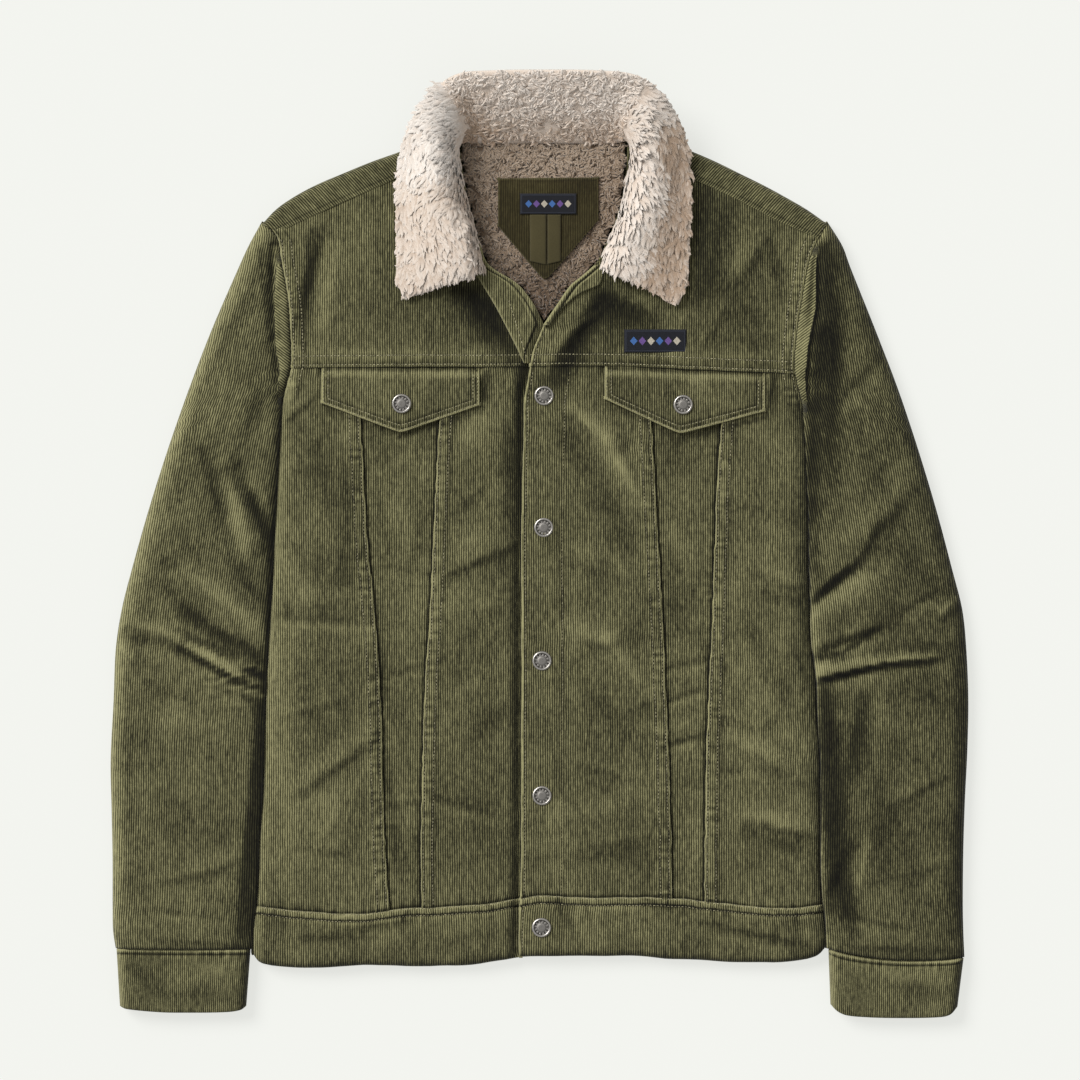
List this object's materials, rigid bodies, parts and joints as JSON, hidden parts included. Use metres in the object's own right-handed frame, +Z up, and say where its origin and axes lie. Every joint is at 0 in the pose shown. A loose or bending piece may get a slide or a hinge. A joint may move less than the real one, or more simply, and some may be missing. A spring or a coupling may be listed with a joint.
{
  "type": "sherpa lined jacket",
  "caption": "Corduroy jacket with pile collar and lining, snap placket, two flap pockets, waistband and cuffs, laid flat front up.",
  "frame": {"origin": "on the surface it lies on, under the middle of the whole jacket", "axes": "+X to the viewer's right, the wearer's left; +Y from the hem to the collar; +Z up from the back to the front"},
  "size_m": [0.701, 0.778, 0.0526],
  "materials": {
    "corduroy": "ribbed cotton corduroy, matt",
    "pile": "curly pile",
    "lining_pile": "curly pile",
    "twill": "cotton twill",
    "label_weave": "woven label",
    "snap_metal": "aged, brushed"
  },
  "bodies": {
    "root": {"back_lining": "lining_pile", "back_panel": "corduroy", "back_yoke": "corduroy", "centre_front_left": "corduroy", "centre_front_right": "corduroy", "collar_pile": "pile", "cuff_left": "corduroy", "cuff_right": "corduroy", "facing_left": "corduroy", "facing_right": "corduroy", "flap_left": "corduroy", "flap_right": "corduroy", "front_yoke_left": "corduroy", "front_yoke_right": "corduroy", "hanger_loop": "twill", "label_chest": "label_weave", "label_neck": "label_weave", "locker_patch": "twill", "pocket_panel_left": "corduroy", "pocket_panel_right": "corduroy", "side_front_left": "corduroy", "side_front_right": "corduroy", "snap_flap_left": "snap_metal", "snap_flap_right": "snap_metal", "snap_front_1": "snap_metal", "snap_front_2": "snap_metal", "snap_front_3": "snap_metal", "snap_front_4": "snap_metal", "snap_front_5": "snap_metal", "top_sleeve_left": "corduroy", "top_sleeve_right": "corduroy", "under_collar": "corduroy", "under_sleeve_left": "corduroy", "under_sleeve_right": "corduroy", "waistband_back": "corduroy", "waistband_left": "corduroy", "waistband_right": "corduroy"}
  },
  "joints": []
}
